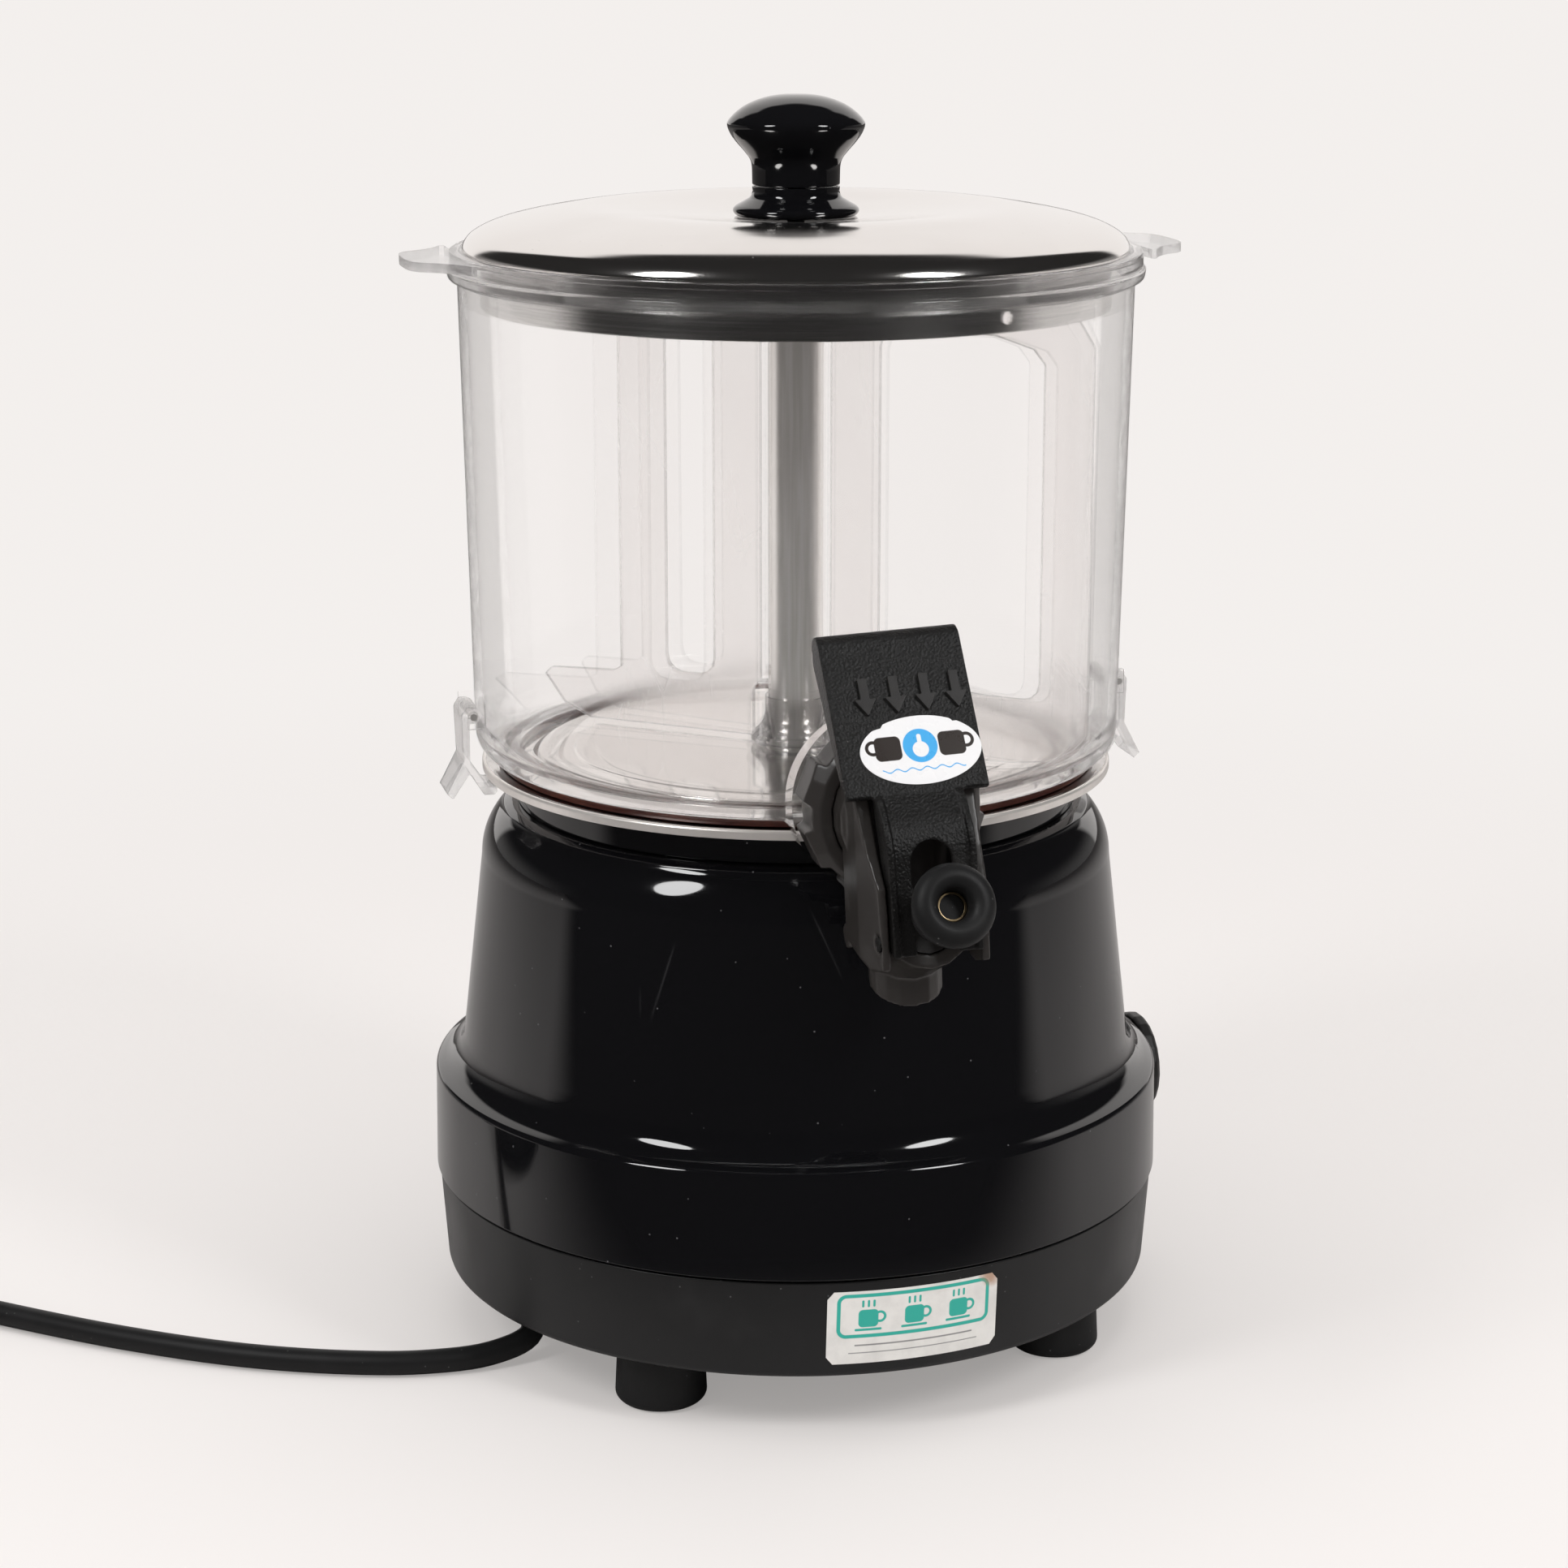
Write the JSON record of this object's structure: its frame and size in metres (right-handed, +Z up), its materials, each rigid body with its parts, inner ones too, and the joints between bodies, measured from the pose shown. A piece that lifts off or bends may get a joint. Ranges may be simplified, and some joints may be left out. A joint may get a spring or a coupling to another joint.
{
  "type": "hot chocolate dispenser",
  "caption": "Countertop hot chocolate dispenser: black heated stand with a thermostat knob, clear bowl with turning mixer, steel lid and a pull tap in front",
  "frame": {"origin": "under the middle of the machine's box without the lead, on the table", "axes": "+Z up, the tap points to -Y, the thermostat knob to +X, the lead leaves to -X"},
  "size_m": [0.562, 0.3927, 0.4369],
  "materials": {
    "black_gloss": "glossy black",
    "black_matt": "fine leather grain, dark grey to black",
    "black_satin": "satin black",
    "brass": "bright brass",
    "clear_plastic": "clear moulded plastic",
    "frosted_plastic": "slightly milky clear plastic",
    "gasket_brown": "dark brown silicone",
    "rubber_black": "matt black",
    "steel_polished": "polished and brushed stainless steel",
    "white_plastic": "white nylon",
    "zinc": "zinc plated steel"
  },
  "bodies": {
    "stand": {"foot_front_left": "rubber_black", "foot_front_right": "rubber_black", "foot_rear_right": "rubber_black", "foot_rear_left": "rubber_black", "case_screw_1": "zinc", "case_screw_2": "zinc", "case_screw_3": "zinc", "case_screw_4": "zinc", "base_pan": "black_satin", "upper_housing": "black_gloss", "dial_bezel": "black_satin", "thermostat_body": "zinc", "heating_plate": "steel_polished", "plate_gasket": "gasket_brown", "heating_element": "zinc", "motor_bracket": "zinc", "gear_case": "black_matt", "gear_case_cover": "black_matt", "motor_can": "zinc", "column_tube": "steel_polished", "column_bush": "white_plastic", "shaft_seal": "rubber_black", "terminal_block": "white_plastic", "lead_gland": "rubber_black", "bowl": "clear_plastic", "latch_pin_left": "steel_polished", "latch_pin_right": "steel_polished", "tap_nut": "black_matt", "tap_washer": "rubber_black", "tap_body": "black_matt", "piston_guide": "black_matt", "piston_spring": "steel_polished", "lead_run": "rubber_black", "lead_coil": "rubber_black", "lead_tail": "rubber_black", "lead_tie": "rubber_black", "plug_body": "rubber_black", "plug_pin_left": "zinc", "plug_pin_right": "zinc"},
    "drive": {"drive_shaft": "steel_polished", "drive_gear": "white_plastic", "mixer_paddle": "frosted_plastic", "mixer_hub": "clear_plastic", "mixer_cap": "frosted_plastic"},
    "pinion": {"motor_pinion": "brass", "motor_shaft": "zinc"},
    "dial": {"thermostat_dial": "black_satin", "dial_spindle": "zinc"},
    "lid": {"lid_dome": "steel_polished", "lid_skirt": "steel_polished", "lid_knob_base": "black_gloss", "lid_knob_head": "black_gloss", "lid_knob_screw": "zinc"},
    "lever": {"tap_lever": "black_matt"},
    "piston": {"piston_plug": "black_matt", "piston_seal": "rubber_black", "piston_button": "black_matt", "button_ring": "brass"},
    "latch_left": {"latch_left": "clear_plastic"},
    "latch_right": {"latch_right": "clear_plastic"}
  },
  "joints": [
    {"name": "mixer_spin", "type": "hinge", "parent": "stand", "child": "drive", "pos_m": [-0.00052, 0.03576, 0.2], "axis": [0, 0, 1], "continuous": true},
    {"name": "pinion_spin", "type": "hinge", "parent": "stand", "child": "pinion", "pos_m": [-0.00052, 0.07326, 0.12], "axis": [0, 0, 1], "continuous": true},
    {"name": "thermostat_turn", "type": "hinge", "parent": "stand", "child": "dial", "pos_m": [0.13708, 0.03576, 0.076], "axis": [1, 0, 0], "range_deg": [-270, 0]},
    {"name": "lid_lift", "type": "slide", "parent": "stand", "child": "lid", "axis": [0, 0, 1], "range_m": [0, 0.12]},
    {"name": "lever_pull", "type": "hinge", "parent": "stand", "child": "lever", "pos_m": [-0.01149, -0.13339, 0.18703], "axis": [0.9963, -0.0732, 0.0454], "range_deg": [0, 20], "stiffness_Nm_per_rad": 0.6, "springref_deg": -11.46},
    {"name": "piston_draw", "type": "slide", "parent": "stand", "child": "piston", "axis": [-0.0855, -0.9025, 0.4222], "range_m": [0, 0.007], "deforming": ["piston_spring"]},
    {"name": "latch_left_swing", "type": "hinge", "parent": "stand", "child": "latch_left", "pos_m": [-0.11721, 0.04433, 0.2283], "axis": [0.0732, 0.9973, 0], "range_deg": [0, 60]},
    {"name": "latch_right_swing", "type": "hinge", "parent": "stand", "child": "latch_right", "pos_m": [0.11616, 0.02719, 0.2283], "axis": [-0.0732, -0.9973, 0], "range_deg": [0, 60]}
  ],
  "couplings": [
    {"joint": "pinion_spin", "follows": "mixer_spin", "ratio": -4},
    {"joint": "piston_draw", "follows": "lever_pull", "m_per_rad": 0.02}
  ]
}
